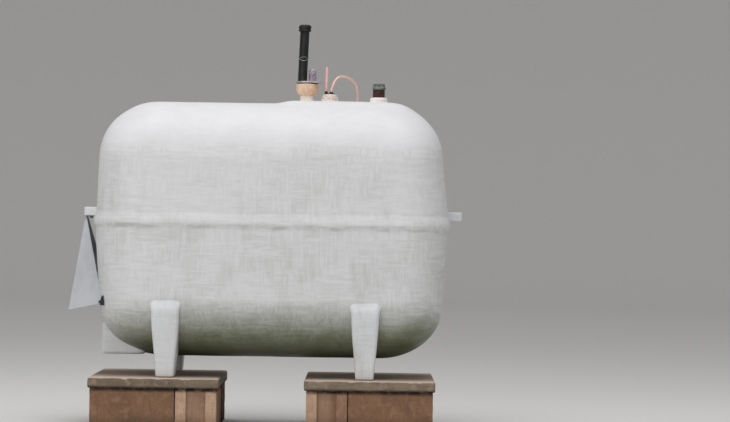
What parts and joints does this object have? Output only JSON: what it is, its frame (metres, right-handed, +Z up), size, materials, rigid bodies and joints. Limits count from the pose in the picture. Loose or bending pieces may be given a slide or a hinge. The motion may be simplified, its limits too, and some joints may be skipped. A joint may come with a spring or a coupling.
{
  "type": "vertical storage tank",
  "caption": "Fibreglass heating-oil tank in two lapped halves on moulded legs, with fill, vent, gauge, burner line, end hood and filter, standing on concrete block piers",
  "frame": {"origin": "on the ground under the middle of the whole object's box", "axes": "+X runs along the tank, from the hood end to the plain end; +Y from the front to the back; +Z up"},
  "size_m": [1.835, 0.762, 1.905],
  "materials": {
    "fibreglass": "white gelcoat on fibreglass, weathered, with olive algae on the underside",
    "concrete_slab": "cast concrete, brownish and weathered",
    "stained_block": "hollow concrete block, stained reddish brown",
    "black_steel": "black steel pipe, dull and weathered",
    "tan_iron": "cast fitting with a tan coating",
    "brass": "dull turned brass",
    "grey_sheet": "folded sheet, even grey coating",
    "copper": "soft copper tube, dulled",
    "clear_plastic": "clear plastic vial with a faint purple tint",
    "red_float": "faded red float disc on a stem",
    "green_plastic": "dark green cap",
    "pink_rod": "faded pinkish coating",
    "cast_aluminium": "die-cast, matt",
    "zinc": "zinc-plated steel"
  },
  "bodies": {
    "root": {"block_left_front_across": "stained_block", "block_left_front_along": "stained_block", "block_left_rear_across": "stained_block", "block_left_rear_along": "stained_block", "block_right_front_across": "stained_block", "block_right_front_along": "stained_block", "block_right_rear_across": "stained_block", "block_right_rear_along": "stained_block", "fill_cap": "green_plastic", "fill_collar": "fibreglass", "fill_pipe": "black_steel", "filter_bowl": "black_steel", "filter_bracket": "zinc", "filter_head": "cast_aluminium", "filter_hood": "grey_sheet", "gauge_float": "red_float", "gauge_rod": "pink_rod", "gauge_vial": "clear_plastic", "hood_bolt_front": "zinc", "hood_bolt_rear": "zinc", "hood_clip_front": "black_steel", "hood_clip_rear": "black_steel", "leg_front_left": "fibreglass", "leg_front_right": "fibreglass", "leg_rear_left": "fibreglass", "leg_rear_right": "fibreglass", "line_boss": "fibreglass", "line_bushing": "black_steel", "line_union": "brass", "lower_shell": "fibreglass", "lug_left": "fibreglass", "lug_right": "fibreglass", "outlet_plug": "fibreglass", "outlet_sump": "fibreglass", "seam_band": "fibreglass", "slab_left": "concrete_slab", "slab_right": "concrete_slab", "supply_line": "copper", "upper_shell": "fibreglass", "vent_bell": "tan_iron", "vent_cap": "black_steel", "vent_neck": "fibreglass", "vent_pipe": "black_steel", "vent_plate": "grey_sheet"}
  },
  "joints": []
}
